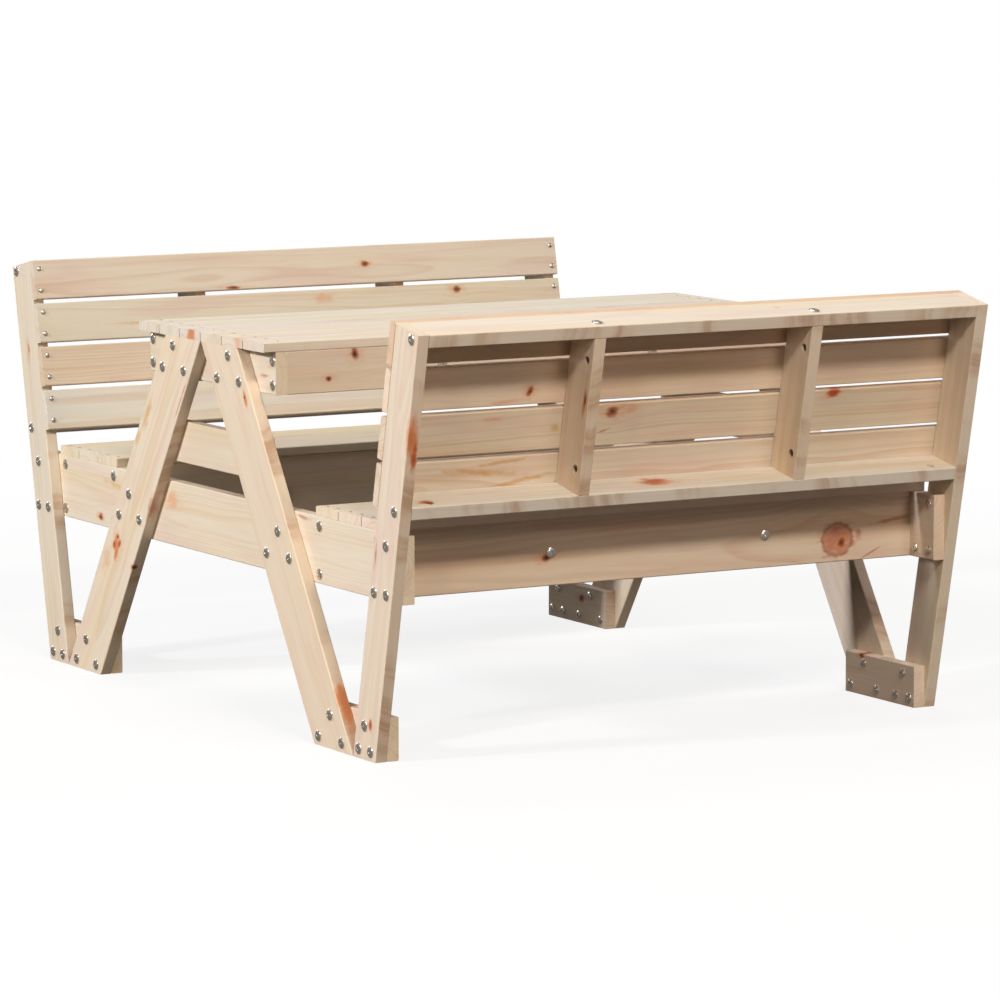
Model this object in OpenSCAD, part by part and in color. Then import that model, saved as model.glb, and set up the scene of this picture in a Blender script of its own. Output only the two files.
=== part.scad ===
/* [Table] */
// Length of the table over its slats
table_l = 1000; // [800:10:1400]
// Height of the table top
table_h = 591; // [570:1:620]
// Height of the seat tops
seat_h = 356; // [342:1:370]

/* [Boards] */
// Thickness of every frame board
frame_t = 20; // [19:0.5:24]
// Thickness of every slat
slat_t = 15; // [13:0.5:18]
// Width of the wide boards: legs, seat bearers and seat rails
wide_w = 102; // [96:1:108]
// Width of the narrow boards: foot plates, table bearers, aprons and ties
narrow_w = 66; // [62:1:72]
// Width of the back posts and of the boards between them
post_w = 67; // [62:1:74]
// Width of a table or seat slat
slat_w = 70; // [66:1:74]
// Gap between two table or seat slats
slat_gap = 1.6; // [1:0.2:4]
// Width of a back slat
back_slat_w = 65; // [62:1:67]
// Gap between two back slats
back_slat_gap = 7; // [5:0.5:8]
// Radius of the rounded long edges of every board
edge_r = 2; // [1:0.25:3]

/* [Stance] */
// Lean of the table legs from upright, in degrees
leg_angle = 32.6; // [30:0.2:35]
// Gap between the two legs of an end, close under the table top
leg_gap = 2; // [1:0.5:6]
// Lean of the back posts from upright, in degrees
post_lean = 11.6; // [9:0.2:14]
// Length of a back post along its middle
post_l = 662; // [655:1:700]
// Gap on the floor between a leg and a post
foot_gap = 1; // [1:0.5:8]
// Gap between the rear edge of a seat and the front of the posts
seat_back_gap = 10.3; // [6:0.1:16]

/* [Frame] */
// Height of the lower edge of the tie boards
tie_h = 374; // [366:1:400]
// How far a tie board ends inside the outer edges of the legs at its top
tie_inset = 37; // [30:1:46]
// How far the front edge of a seat stands over its rail
front_overhang = 2; // [0:0.5:6]
// How far the rear edge of a seat stands over its rail
rear_overhang = 10; // [8:0.5:16]
// Distance of the struts and supports from the middle
support_x = 190.5; // [120:0.5:260]

/* [Fasteners] */
// Diameter of the bolts
bolt_d = 6; // [5:0.5:7]
// Diameter of the bolt heads
head_d = 16; // [14:0.5:16.5]
// Height of the bolt heads
head_h = 3; // [2:0.25:4]
// Diameter of the heads of the cap nuts
cap_d = 14; // [12:0.5:16]
// Diameter of the sleeves of the cap nuts
sleeve_d = 8; // [7.5:0.1:8.2]
// Length of the sleeves of the cap nuts
sleeve_l = 14; // [10:1:18]
// Diameter of the barrel nuts
barrel_d = 12; // [10:0.5:13]
// Length of the barrel nuts
barrel_l = 12; // [10:0.5:15]
// Distance of a barrel nut from the end of its board
barrel_inset = 37; // [30:1:45]
// Length of a bolt beyond the middle of its barrel nut
barrel_over = 8; // [6:0.5:10]
// Diameter of the wood screws
screw_d = 3.5; // [3:0.1:4]
// Diameter of the heads of the wood screws
screw_head_d = 7; // [6:0.2:8]
// How deep a wood screw bites behind the board that it holds
screw_bite = 9; // [7:0.25:9.25]
// Clearance of a fastener in its hole, across the diameter
hole_fit = 0.4; // [0.2:0.1:0.6]

/* [Fastener places] */
// Half the height between the two bolt rows in a narrow board
narrow_row = 18.5; // [16:0.5:19]
// Half the height between the two bolt rows in a wide board
wide_row = 36.2; // [33:0.2:37]
// Half the distance between the two lower bolts of a leg
leg_bolt_y = 36.5; // [30:0.5:38]
// Half the distance between the two lower bolts of a post
post_bolt_y = 18.2; // [16:0.2:20]
// Distance of the back frame's bolts from the rear edge of the posts
back_bolt_inset = 16; // [12:0.5:24]
// Half the distance between the two screws across a slat
screw_y = 18; // [14:0.5:24]

/* [Hidden] */
table_slats = 6;
seat_slats = 3;
back_slats = 4;
round_fn = 32;
dome_fn = 64;
// A cutter reaches this far out of the wood, so that it leaves no skin
past = 1;
side_names = ["front", "rear"];
end_names = ["left", "right"];

// Planes across the length: outer faces of the legs, of the bearers, and inner faces of the bearers
leg_x = table_l / 2;
bearer_x = leg_x - frame_t;
inner_x = bearer_x - frame_t;

// Heights
leg_top = table_h - slat_t;
seat_top = seat_h - slat_t;
seat_z = seat_top - wide_w / 2;
seat_low = seat_top - wide_w;
table_z = leg_top - narrow_w / 2;
foot_z = narrow_w / 2;
tie_z = tie_h + narrow_w / 2;
tie_top = tie_h + narrow_w;

// Places of the leaning boards at a height, for the side with positive Y
function leg_inner(z) = leg_gap / 2 + tan(leg_angle) * (leg_top - z);
function leg_outer(z) = leg_inner(z) + wide_w / cos(leg_angle);
function leg_middle(z) = (leg_inner(z) + leg_outer(z)) / 2;
function post_front(z) = leg_outer(0) + foot_gap + tan(post_lean) * z;
function post_rear(z) = post_front(z) + post_w / cos(post_lean);
function post_middle(z) = (post_front(z) + post_rear(z)) / 2;

// The back frame's own directions: up along a post, and rearwards across it
post_up = [0, sin(post_lean), cos(post_lean)];
post_back = [0, cos(post_lean), -sin(post_lean)];
function on_post(x, w, u) = [x, post_middle(0), 0] + u * post_up + w * post_back;

// Widths across the table, the seats and the backs
slat_pitch = slat_w + slat_gap;
table_half = (table_slats * slat_pitch - slat_gap) / 2;
apron_y = table_half - frame_t / 2;
seat_rear_y = post_front(seat_h) - seat_back_gap;
seat_front_y = seat_rear_y - (seat_slats * slat_pitch - slat_gap);
inner_rail_y = seat_front_y + front_overhang + frame_t / 2;
outer_rail_y = seat_rear_y - rear_overhang - frame_t / 2;
bearer_half = post_rear(seat_low);
tie_half = leg_outer(tie_top) - tie_inset;
tie_screw_y = (leg_inner(tie_h) + tie_half) / 2;
back_pitch = back_slat_w + back_slat_gap;
back_h = back_slats * back_pitch - back_slat_gap;
back_low = post_l - back_h;
back_bolt_w = post_w / 2 - back_bolt_inset;

// Fastener lengths
through_l = 2 * frame_t - past;
barrel_bolt_l = frame_t + barrel_inset + barrel_over;
screw_l = slat_t + screw_bite;
screw_head_h = (screw_head_d - screw_d) / 2;

function turned(s, p) = s == "rear" ? p : [-p.x, -p.y, p.z];
function end_sign(e) = e == "left" ? -1 : 1;

// Bolt patterns, as points across the table and up
function leg_bolts(z) = let (low = z - narrow_row, mid = leg_middle(low))
  [[mid - leg_bolt_y, low], [mid + leg_bolt_y, low], [mid, z + narrow_row]];
function foot_bolts(z) = let (low = z - narrow_row, mid = post_middle(low))
  [[mid - post_bolt_y, low], [mid + post_bolt_y, low], [mid, z + narrow_row]];
function post_bolts(z) = let (low = z - wide_row, mid = post_middle(low))
  [[mid - post_bolt_y, low], [mid + post_bolt_y, low], [mid + post_bolt_y, z + wide_row]];

leg_foot_points = leg_bolts(foot_z);
leg_seat_points = leg_bolts(seat_z);
leg_table_points = leg_bolts(table_z);
post_foot_points = foot_bolts(foot_z);
post_seat_points = post_bolts(seat_z);
leg_points = concat(leg_foot_points, leg_seat_points, leg_table_points);
post_points = concat(post_foot_points, post_seat_points);

// A fastener's place is its head's seat, the way out of the wood, and a way across:
// for a barrel nut, the way to the open end of its hole
function through_places(s, e, points) =
  [for (p = points) [turned(s, [sided(s, e) * leg_x, p.x, p.y]), [end_sign(e), 0, 0], [0, 0, 1]]];
// The sign along X of an end, before the front side is turned half round
function sided(s, e) = s == "rear" ? end_sign(e) : -end_sign(e);
function all_through(points) = [for (s = side_names, e = end_names) each through_places(s, e, points)];

function turned_place(s, j) = [turned(s, j[0]), turned(s, j[1]), turned(s, j[2])];
function rail_places(s, y, open) =
  [for (a = [-1, 1], b = [-1, 1])
    turned_place(s, [[a * bearer_x, y, seat_z + b * wide_row], [a, 0, 0], [0, open, 0]])];
function apron_places(s) =
  [for (a = [-1, 1], b = [-1, 1])
    turned_place(s, [[a * bearer_x, apron_y, table_z + b * narrow_row], [a, 0, 0], [0, -1, 0]])];
function back_board_places(s, u, open) =
  [for (a = [-1, 1]) turned_place(s, [on_post(a * leg_x, back_bolt_w, u), [a, 0, 0], open * post_up])];
function strut_places(s, a) =
  [turned_place(s, [on_post(a * support_x, back_bolt_w, post_l), post_up, [1, 0, 0]]),
   turned_place(s, [on_post(a * support_x, back_bolt_w, back_low), -post_up, [1, 0, 0]])];
function support_places(s, a, y, z, out) =
  [turned_place(s, [[a * support_x, y, z], [0, out, 0], [-a, 0, 0]])];
function inner_support_places(s) =
  [for (a = [-1, 1]) each support_places(s, a, inner_rail_y - frame_t / 2, seat_z, -1)];
function outer_support_places(s) =
  [for (a = [-1, 1]) each support_places(s, a, outer_rail_y + frame_t / 2, seat_z, 1)];
function table_support_places(s) =
  [for (a = [-1, 1]) each support_places(s, a, table_half, table_z, 1)];
function both_struts(s) = [for (a = [-1, 1]) each strut_places(s, a)];

inner_open = 1;
outer_open = -1;
top_u = post_l - frame_t / 2;
low_u = back_low + frame_t / 2;
barrel_places = [for (s = side_names) each concat(
  rail_places(s, inner_rail_y, inner_open), rail_places(s, outer_rail_y, outer_open), apron_places(s),
  back_board_places(s, top_u, -1), back_board_places(s, low_u, 1), both_struts(s),
  inner_support_places(s), outer_support_places(s), table_support_places(s))];
through_all = concat(all_through(leg_points), all_through(post_points));

// Wood screws
function slat_screws(y, z) = [for (a = [-1, 1], b = [-1, 1])
  [[a * (bearer_x - frame_t / 2), y + b * screw_y, z], [0, 0, 1], [1, 0, 0]]];
function table_slat_y(i) = (i - (table_slats + 1) / 2) * slat_pitch;
function seat_slat_y(i) = seat_front_y + slat_w / 2 + (i - 1) * slat_pitch;
function back_slat_u(i) = post_l - back_slat_w / 2 - (i - 1) * back_pitch;
back_slat_w0 = -post_w / 2 - slat_t;
function table_screws(i) = slat_screws(table_slat_y(i), table_h);
function seat_screws(s, i) = [for (j = slat_screws(seat_slat_y(i), seat_h)) turned_place(s, j)];
function back_screws(s, i) = [for (a = [-1, 1], b = [-1, 1])
  turned_place(s, [on_post(a * (leg_x - frame_t / 2), back_slat_w0, back_slat_u(i) + b * screw_y),
    -post_back, [1, 0, 0]])];
function tie_screws(s, e) = [for (b = [-1, 1]) let (z = tie_z + b * narrow_row)
  turned_place(s, [[sided(s, e) * inner_x, tie_screw_y, z], [-sided(s, e), 0, 0], [0, 0, 1]])];
screw_places = concat(
  [for (i = [1 : table_slats]) each table_screws(i)],
  [for (s = side_names, i = [1 : seat_slats]) each seat_screws(s, i)],
  [for (s = side_names, i = [1 : back_slats]) each back_screws(s, i)]);
tie_screw_places = [for (s = side_names, e = end_names) each tie_screws(s, e)];
tie_screw_l = frame_t + screw_bite;

// Boards: sawn timber with rounded long edges
module eased_outline(a, b) {
  square([a - 2 * edge_r, b], center = true);
  square([a, b - 2 * edge_r], center = true);
  for (i = [-1, 1], j = [-1, 1])
    translate([i * (a / 2 - edge_r), j * (b / 2 - edge_r)])
      circle(edge_r, $fn = round_fn);
}

// A board along X, b high
module board_x(l, a, b) {
  rotate([90, 0, 90])
    linear_extrude(l, center = true)
      eased_outline(a, b);
}

// A board along Y, b high
module board_y(l, a, b) {
  rotate([90, 0, 0])
    linear_extrude(l, center = true)
      eased_outline(a, b);
}

// A board along Z, standing on its lower end
module board_z(l, a, b) {
  linear_extrude(l)
    eased_outline(a, b);
}

// Moves what is drawn for the rear side to side s
module on_side(s) {
  rotate([0, 0, s == "rear" ? 0 : 180])
    children();
}

// Puts a fastener or its cutter at place j, its axis along Z with the head up
module at_place(j) {
  p = j[0];
  z = j[1];
  x = j[2];
  y = cross(z, x);
  multmatrix([[x.x, y.x, z.x, p.x], [x.y, y.y, z.y, p.y], [x.z, y.z, z.z, p.z]])
    children();
}

// Holes
module through_hole() {
  translate([0, 0, -2 * frame_t - past])
    cylinder(d = sleeve_d + hole_fit, h = 2 * frame_t + 2 * past, $fn = round_fn);
}

module barrel_hole() {
  nut_z = -frame_t - barrel_inset;
  translate([0, 0, -barrel_bolt_l - past])
    cylinder(d = bolt_d + hole_fit, h = barrel_bolt_l + 2 * past, $fn = round_fn);
  translate([-barrel_l / 2 - hole_fit / 2, 0, nut_z])
    rotate([0, 90, 0])
      cylinder(d = barrel_d + hole_fit, h = barrel_l / 2 + hole_fit / 2 + frame_t / 2 + past, $fn = round_fn);
}

module screw_hole(l) {
  fit = hole_fit / 2;
  translate([0, 0, -l - fit])
    cylinder(d = screw_d + fit, h = l + fit + past, $fn = round_fn);
  translate([0, 0, -screw_head_h])
    cylinder(d1 = screw_d + fit, d2 = screw_head_d + fit, h = screw_head_h, $fn = round_fn);
  cylinder(d = screw_head_d + fit, h = past, $fn = round_fn);
}

module cut_through(s, e, points) {
  for (j = through_places(s, e, points))
    at_place(j)
      through_hole();
}

module cut_barrels(places) {
  for (j = places)
    at_place(j)
      barrel_hole();
}

module cut_screws(places, l) {
  for (j = places)
    at_place(j)
      screw_hole(l);
}

// Slats
module wood() {
  color("burlywood")
    children();
}

module tabletop_slat(i) {
  wood()
    difference() {
      translate([0, table_slat_y(i), table_h - slat_t / 2])
        board_x(table_l, slat_w, slat_t);
      cut_screws(table_screws(i), screw_l);
    }
}

module seat_slat(s, i) {
  wood()
    difference() {
      on_side(s)
        translate([0, seat_slat_y(i), seat_h - slat_t / 2])
          board_x(2 * bearer_x, slat_w, slat_t);
      cut_screws(seat_screws(s, i), screw_l);
    }
}

// Draws in the back frame's own directions: Y rearwards across the posts, Z up along them
module in_back_frame(s) {
  on_side(s)
    translate([0, post_middle(0), 0])
      rotate([-post_lean, 0, 0])
        children();
}

module back_slat(s, i) {
  wood()
    difference() {
      in_back_frame(s)
        translate([0, back_slat_w0 + slat_t / 2, back_slat_u(i)])
          board_x(table_l, slat_t, back_slat_w);
      cut_screws(back_screws(s, i), screw_l);
    }
}

// Leaning boards, cut level on the floor
module floor_to(top) {
  reach = 2 * table_l;
  translate([-reach / 2, -reach / 2, 0])
    cube([reach, reach, top]);
}

module table_leg(s, e) {
  spare = wide_w;
  long = leg_top / cos(leg_angle) + 2 * spare;
  wood()
    difference() {
      intersection() {
        on_side(s)
          translate([sided(s, e) * (leg_x - frame_t / 2), leg_middle(0), 0])
            rotate([leg_angle, 0, 0])
              translate([0, 0, -spare])
                board_z(long, frame_t, wide_w);
        floor_to(leg_top);
      }
      cut_through(s, e, leg_points);
      cut_screws(tie_screws(s, e), tie_screw_l);
    }
}

module back_post(s, e) {
  spare = post_w;
  a = sided(s, e);
  wood()
    difference() {
      intersection() {
        in_back_frame(s)
          translate([a * (leg_x - frame_t / 2), 0, -spare])
            board_z(post_l + spare, frame_t, post_w);
        floor_to(2 * post_l);
      }
      cut_through(s, e, post_points);
      for (j = concat(back_board_places(s, top_u, -1), back_board_places(s, low_u, 1)))
        if (sign(j[1].x) == end_sign(e))
          at_place(j)
            barrel_hole();
      for (i = [1 : back_slats], j = back_screws(s, i))
        if (sign(j[0].x) == end_sign(e))
          at_place(j)
            screw_hole(screw_l);
    }
}

module foot_plate(s, e) {
  inner_end = leg_inner(0);
  outer_end = post_rear(0);
  wood()
    difference() {
      on_side(s)
        translate([sided(s, e) * (bearer_x - frame_t / 2), (inner_end + outer_end) / 2, foot_z])
          board_y(outer_end - inner_end, frame_t, narrow_w);
      cut_through(s, e, concat(leg_foot_points, post_foot_points));
    }
}

// Bearers and ties across the table
module cut_rail_ends(s, e) {
  for (j = concat(rail_places(s, inner_rail_y, inner_open), rail_places(s, outer_rail_y, outer_open)))
    if (sign(j[1].x) == end_sign(e))
      at_place(j)
        barrel_hole();
}

module seat_bearer(e) {
  wood()
    difference() {
      translate([end_sign(e) * (bearer_x - frame_t / 2), 0, seat_z])
        board_y(2 * bearer_half, frame_t, wide_w);
      for (s = side_names) {
        cut_through(s, e, concat(leg_seat_points, post_seat_points));
        cut_rail_ends(s, e);
      }
      for (s = side_names, i = [1 : seat_slats], j = seat_screws(s, i))
        if (sign(j[0].x) == end_sign(e))
          at_place(j)
            screw_hole(screw_l);
    }
}

module table_bearer(e) {
  wood()
    difference() {
      translate([end_sign(e) * (bearer_x - frame_t / 2), 0, table_z])
        board_y(2 * table_half, frame_t, narrow_w);
      for (s = side_names) {
        cut_through(s, e, leg_table_points);
        for (j = apron_places(s))
          if (sign(j[1].x) == end_sign(e))
            at_place(j)
              barrel_hole();
      }
      for (i = [1 : table_slats], j = table_screws(i))
        if (sign(j[0].x) == end_sign(e))
          at_place(j)
            screw_hole(screw_l);
    }
}

module tie_board(e) {
  wood()
    difference() {
      translate([end_sign(e) * (bearer_x - frame_t / 2), 0, tie_z])
        board_y(2 * tie_half, frame_t, narrow_w);
      for (s = side_names)
        cut_screws(tie_screws(s, e), tie_screw_l);
    }
}

// Aprons and rails along the table
module apron(s) {
  wood()
    difference() {
      on_side(s)
        translate([0, apron_y, table_z])
          board_x(2 * inner_x, frame_t, narrow_w);
      cut_barrels(concat(apron_places(s), table_support_places(s)));
    }
}

module inner_rail(s) {
  wood()
    difference() {
      on_side(s)
        translate([0, inner_rail_y, seat_z])
          board_x(2 * inner_x, frame_t, wide_w);
      cut_barrels(concat(rail_places(s, inner_rail_y, inner_open), inner_support_places(s)));
    }
}

module outer_rail(s) {
  wood()
    difference() {
      on_side(s)
        translate([0, outer_rail_y, seat_z])
          board_x(2 * inner_x, frame_t, wide_w);
      cut_barrels(concat(rail_places(s, outer_rail_y, outer_open), outer_support_places(s)));
    }
}

// Supports under the seats and the table top
module seat_supports(s) {
  front = inner_rail_y + frame_t / 2;
  rear = outer_rail_y - frame_t / 2;
  wood()
    difference() {
      on_side(s)
        for (a = [-1, 1])
          translate([a * support_x, (front + rear) / 2, seat_z])
            board_y(rear - front, frame_t, wide_w);
      cut_barrels(concat(inner_support_places(s), outer_support_places(s)));
    }
}

module table_supports() {
  wood()
    difference() {
      for (a = [-1, 1])
        translate([a * support_x, 0, table_z])
          board_y(2 * (table_half - frame_t), frame_t, narrow_w);
      for (s = side_names)
        cut_barrels(table_support_places(s));
    }
}

// Back frame between the posts
module back_board(s, u, open) {
  wood()
    difference() {
      in_back_frame(s)
        translate([0, 0, u])
          board_x(2 * bearer_x, post_w, frame_t);
      cut_barrels(concat(back_board_places(s, u, open), both_struts(s)));
    }
}

module back_strut(s, e) {
  a = sided(s, e);
  wood()
    difference() {
      in_back_frame(s)
        translate([a * support_x, 0, back_low + frame_t])
          board_z(back_h - 2 * frame_t, frame_t, post_w);
      cut_barrels(strut_places(s, a));
    }
}

// Fasteners
module steel() {
  color("silver")
    children();
}

// A low dome on a rim, flat underneath
module dome_head(d, h) {
  rise = h / 2;
  r = (d * d / 4 + rise * rise) / (2 * rise);
  intersection() {
    cylinder(d = d, h = h, $fn = dome_fn);
    translate([0, 0, h - r])
      sphere(r, $fn = 4 * dome_fn);
  }
}

module hex_socket(h) {
  across = 4;
  translate([0, 0, h / 3])
    cylinder(d = across / cos(30), h = h, $fn = 6);
}

module bolt(l) {
  difference() {
    union() {
      dome_head(head_d, head_h);
      translate([0, 0, -l])
        cylinder(d = bolt_d, h = l + head_h / 3, $fn = round_fn);
    }
    hex_socket(head_h);
  }
}

module cap_nut() {
  difference() {
    union() {
      dome_head(cap_d, head_h);
      translate([0, 0, -sleeve_l])
        cylinder(d = sleeve_d, h = sleeve_l + head_h / 3, $fn = round_fn);
    }
    hex_socket(head_h);
    translate([0, 0, -sleeve_l - past])
      cylinder(d = bolt_d + hole_fit, h = sleeve_l + past - hole_fit, $fn = round_fn);
  }
}

module barrel_nut() {
  slot_w = 1.2;
  rotate([0, 90, 0])
    difference() {
      translate([0, 0, -barrel_l / 2])
        cylinder(d = barrel_d, h = barrel_l, $fn = round_fn);
      rotate([0, 90, 0])
        cylinder(d = bolt_d + hole_fit, h = 2 * barrel_d, center = true, $fn = round_fn);
      translate([-barrel_d, -slot_w / 2, barrel_l / 2 - slot_w])
        cube([2 * barrel_d, slot_w, 2 * slot_w]);
    }
}

module wood_screw(l) {
  tip = screw_d;
  slot_w = screw_head_d / 7;
  difference() {
    union() {
      translate([0, 0, -screw_head_h])
        cylinder(d1 = screw_d, d2 = screw_head_d, h = screw_head_h, $fn = round_fn);
      translate([0, 0, tip - l])
        cylinder(d = screw_d, h = l - tip - screw_head_h, $fn = round_fn);
      translate([0, 0, -l])
        cylinder(d1 = 0.5, d2 = screw_d, h = tip, $fn = round_fn);
    }
    for (turn = [0, 90])
      rotate([0, 0, turn])
        cube([screw_head_d * 0.6, slot_w, 2 * slot_w], center = true);
  }
}

module through_bolts() {
  steel()
    for (j = through_all)
      at_place(j)
        bolt(through_l);
}

module cap_nuts() {
  steel()
    for (j = through_all)
      at_place([j[0] - 2 * frame_t * j[1], -j[1], j[2]])
        cap_nut();
}

module barrel_bolts() {
  steel()
    for (j = barrel_places)
      at_place(j)
        bolt(barrel_bolt_l);
}

module barrel_nuts() {
  steel()
    for (j = barrel_places)
      at_place(j)
        translate([0, 0, -frame_t - barrel_inset])
          barrel_nut();
}

module wood_screws() {
  steel() {
    for (j = screw_places)
      at_place(j)
        wood_screw(screw_l);
    for (j = tie_screw_places)
      at_place(j)
        wood_screw(tie_screw_l);
  }
}

for (i = [1 : table_slats])
  tabletop_slat(i);
for (s = side_names, i = [1 : seat_slats])
  seat_slat(s, i);
for (s = side_names, i = [1 : back_slats])
  back_slat(s, i);
for (s = side_names, e = end_names) {
  table_leg(s, e);
  back_post(s, e);
  foot_plate(s, e);
  back_strut(s, e);
}
for (e = end_names) {
  seat_bearer(e);
  table_bearer(e);
  tie_board(e);
}
for (s = side_names) {
  apron(s);
  inner_rail(s);
  outer_rail(s);
  back_board(s, top_u, -1);
  back_board(s, low_u, 1);
  seat_supports(s);
}
table_supports();
through_bolts();
cap_nuts();
barrel_bolts();
barrel_nuts();
wood_screws();
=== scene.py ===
# %% [markdown]
# # A picnic table for children
#
# The real table is cut from planed softwood boards and put together with steel bolts, barrel nuts and wood screws.
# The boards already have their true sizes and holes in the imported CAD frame, so this lesson gives them their finish:
# eased ends, grain, knots and a bare planed surface, and it models the small steel pieces afresh.

# %% Load the frame
import math
import random

import bpy
import numpy as np
from mathutils import Matrix, Vector


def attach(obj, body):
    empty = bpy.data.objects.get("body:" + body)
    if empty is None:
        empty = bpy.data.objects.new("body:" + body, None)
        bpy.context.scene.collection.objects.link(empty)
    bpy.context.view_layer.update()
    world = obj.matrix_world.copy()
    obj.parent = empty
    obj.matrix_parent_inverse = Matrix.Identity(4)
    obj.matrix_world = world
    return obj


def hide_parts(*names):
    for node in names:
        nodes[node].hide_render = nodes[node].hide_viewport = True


MM_PER_M = 1000  # the sizes in this lesson are in millimetres, and Blender's are in metres
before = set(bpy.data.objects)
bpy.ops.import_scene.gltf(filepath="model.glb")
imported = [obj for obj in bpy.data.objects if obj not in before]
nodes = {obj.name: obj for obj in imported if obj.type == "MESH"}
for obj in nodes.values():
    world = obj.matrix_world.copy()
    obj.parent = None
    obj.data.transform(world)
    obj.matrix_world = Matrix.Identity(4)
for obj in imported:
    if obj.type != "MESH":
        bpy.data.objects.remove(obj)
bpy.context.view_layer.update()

# %% [markdown]
# ## Shader maths as plain expressions
#
# A wood material needs a lot of small sums. Clicking a Math node for each is slow, so one small class wraps a socket.
# Python's own operators then add the Math nodes, and a formula in the script reads like a formula on paper.

# %% A socket that Python can calculate with
class Socket:
    """The output of a node. A sum with it adds a Math node, and gives that node's output."""

    def __init__(self, shader, socket):
        self.shader = shader
        self.socket = socket

    def maths(self, operation, *values):
        return self.shader.node("ShaderNodeMath", {"operation": operation}, *values)

    def __add__(self, other):
        return self.maths("ADD", self, other)

    def __radd__(self, other):
        return self.maths("ADD", other, self)

    def __sub__(self, other):
        return self.maths("SUBTRACT", self, other)

    def __rsub__(self, other):
        return self.maths("SUBTRACT", other, self)

    def __mul__(self, other):
        return self.maths("MULTIPLY", self, other)

    def __rmul__(self, other):
        return self.maths("MULTIPLY", other, self)

    def __truediv__(self, other):
        return self.maths("DIVIDE", self, other)

    def __rtruediv__(self, other):
        return self.maths("DIVIDE", other, self)

    def __pow__(self, other):
        return self.maths("POWER", self, other)

    def __abs__(self):
        return self.maths("ABSOLUTE", self)

    def larger(self, other):
        return self.maths("MAXIMUM", self, other)

    def exp(self):
        return self.maths("EXPONENT", self)

    def fraction(self):
        return self.maths("FRACT", self)

    def whole(self):
        return self.maths("FLOOR", self)

    def step(self, low, high, start=0.0, end=1.0):
        """Goes smoothly from start to end while the value goes from low to high."""
        settings = {"interpolation_type": "SMOOTHSTEP"}
        return self.shader.node("ShaderNodeMapRange", settings, self, low, high, start, end)


print("sockets can be added, subtracted, multiplied, divided and compared")

# %% [markdown]
# ## A material that a script fills
#
# Every finish starts as a new material with its surface shader. One method adds any node, whatever its kind, so that
# the rest of the lesson only says which node it wants and what goes in.

# %% The node tree of a material
# The Mix node has three sets of sockets with the same names, so those for colours go by number
MIX_AMOUNT, MIX_FIRST, MIX_SECOND, MIX_RESULT = 0, 6, 7, 2


class Shader:
    """The node tree of one new material."""

    def __init__(self, name):
        self.material = bpy.data.materials.new(name)
        self.material.use_nodes = True
        self.tree = self.material.node_tree
        self.surface = self.tree.nodes["Principled BSDF"]

    def node(self, kind, settings=None, *values, output=0, **named):
        """Adds a node: its settings first, then values or links for its sockets, in order or by name."""
        made = self.tree.nodes.new(kind)
        for key, value in (settings or {}).items():
            setattr(made, key, value)
        for key, value in [*enumerate(values), *named.items()]:
            self.give(made.inputs[key], value)
        return Socket(self, made.outputs[output])

    def give(self, target, value):
        """Links a socket to its target, or writes a plain value there."""
        if isinstance(value, Socket):
            self.tree.links.new(value.socket, target)
        else:
            target.default_value = (*value, 1.0) if target.type == "RGBA" else value

    def set(self, **sockets):
        """Feeds the surface shader's own sockets, named with underscores for spaces."""
        for key, value in sockets.items():
            self.give(self.surface.inputs[key.replace("_", " ")], value)

    def mix(self, amount, first, second):
        """Mixes two colours: amount is the share of the second."""
        made = self.tree.nodes.new("ShaderNodeMix")
        made.data_type = "RGBA"
        for key, value in ((MIX_AMOUNT, amount), (MIX_FIRST, first), (MIX_SECOND, second)):
            self.give(made.inputs[key], value)
        return Socket(self, made.outputs[MIX_RESULT])

    def vector(self, operation, *values, output="Vector", **named):
        return self.node("ShaderNodeVectorMath", {"operation": operation}, *values, output=output, **named)

    def length(self, place):
        return self.vector("LENGTH", place, output="Value")

    def combine(self, *values):
        return self.node("ShaderNodeCombineXYZ", None, *values)

    def parts(self, place):
        """The x, y and z of a place."""
        return [Socket(self, output) for output in self.node("ShaderNodeSeparateXYZ", None, place).socket.node.outputs]

    def noise(self, place, detail=2.0, scale=1.0, output="Fac"):
        """Soft noise over a place, with its middle at a half; output Color gives three noises at once."""
        return self.node("ShaderNodeTexNoise", None, Vector=place, Scale=scale, Detail=detail, output=output)

    def coordinates(self, output="Object"):
        return self.node("ShaderNodeTexCoord", output=output)


def srgb(red, green, blue):
    """A colour picked on a screen, from 0 to 255, as the linear numbers that Blender uses."""
    return tuple((c / 255 / 12.92) if c <= 10 else ((c / 255 + 0.055) / 1.055) ** 2.4 for c in (red, green, blue))


print("the screen's grey 188 gives", round(srgb(188, 188, 188)[0], 2), "of the light of white")

# %% [markdown]
# ## How each board lies
#
# Wood has a direction: the grain runs along the board, and the growth rings show on its ends.
# So every board gets its own three directions, along, across and through it, which also give the place of its middle.
# The lean of the legs and of the back posts is that of the CAD frame.

# %% The directions of every board
LEG_LEAN = math.radians(32.6)
POST_LEAN = math.radians(11.6)
X, Y, Z = Vector((1, 0, 0)), Vector((0, 1, 0)), Vector((0, 0, 1))
SIDES = {"front": -1, "rear": 1}
STEEL_NODES = ["through_bolts", "cap_nuts", "barrel_bolts", "barrel_nuts", "wood_screws"]
BOARDS = sorted(name for name in nodes if name not in STEEL_NODES)


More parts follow.
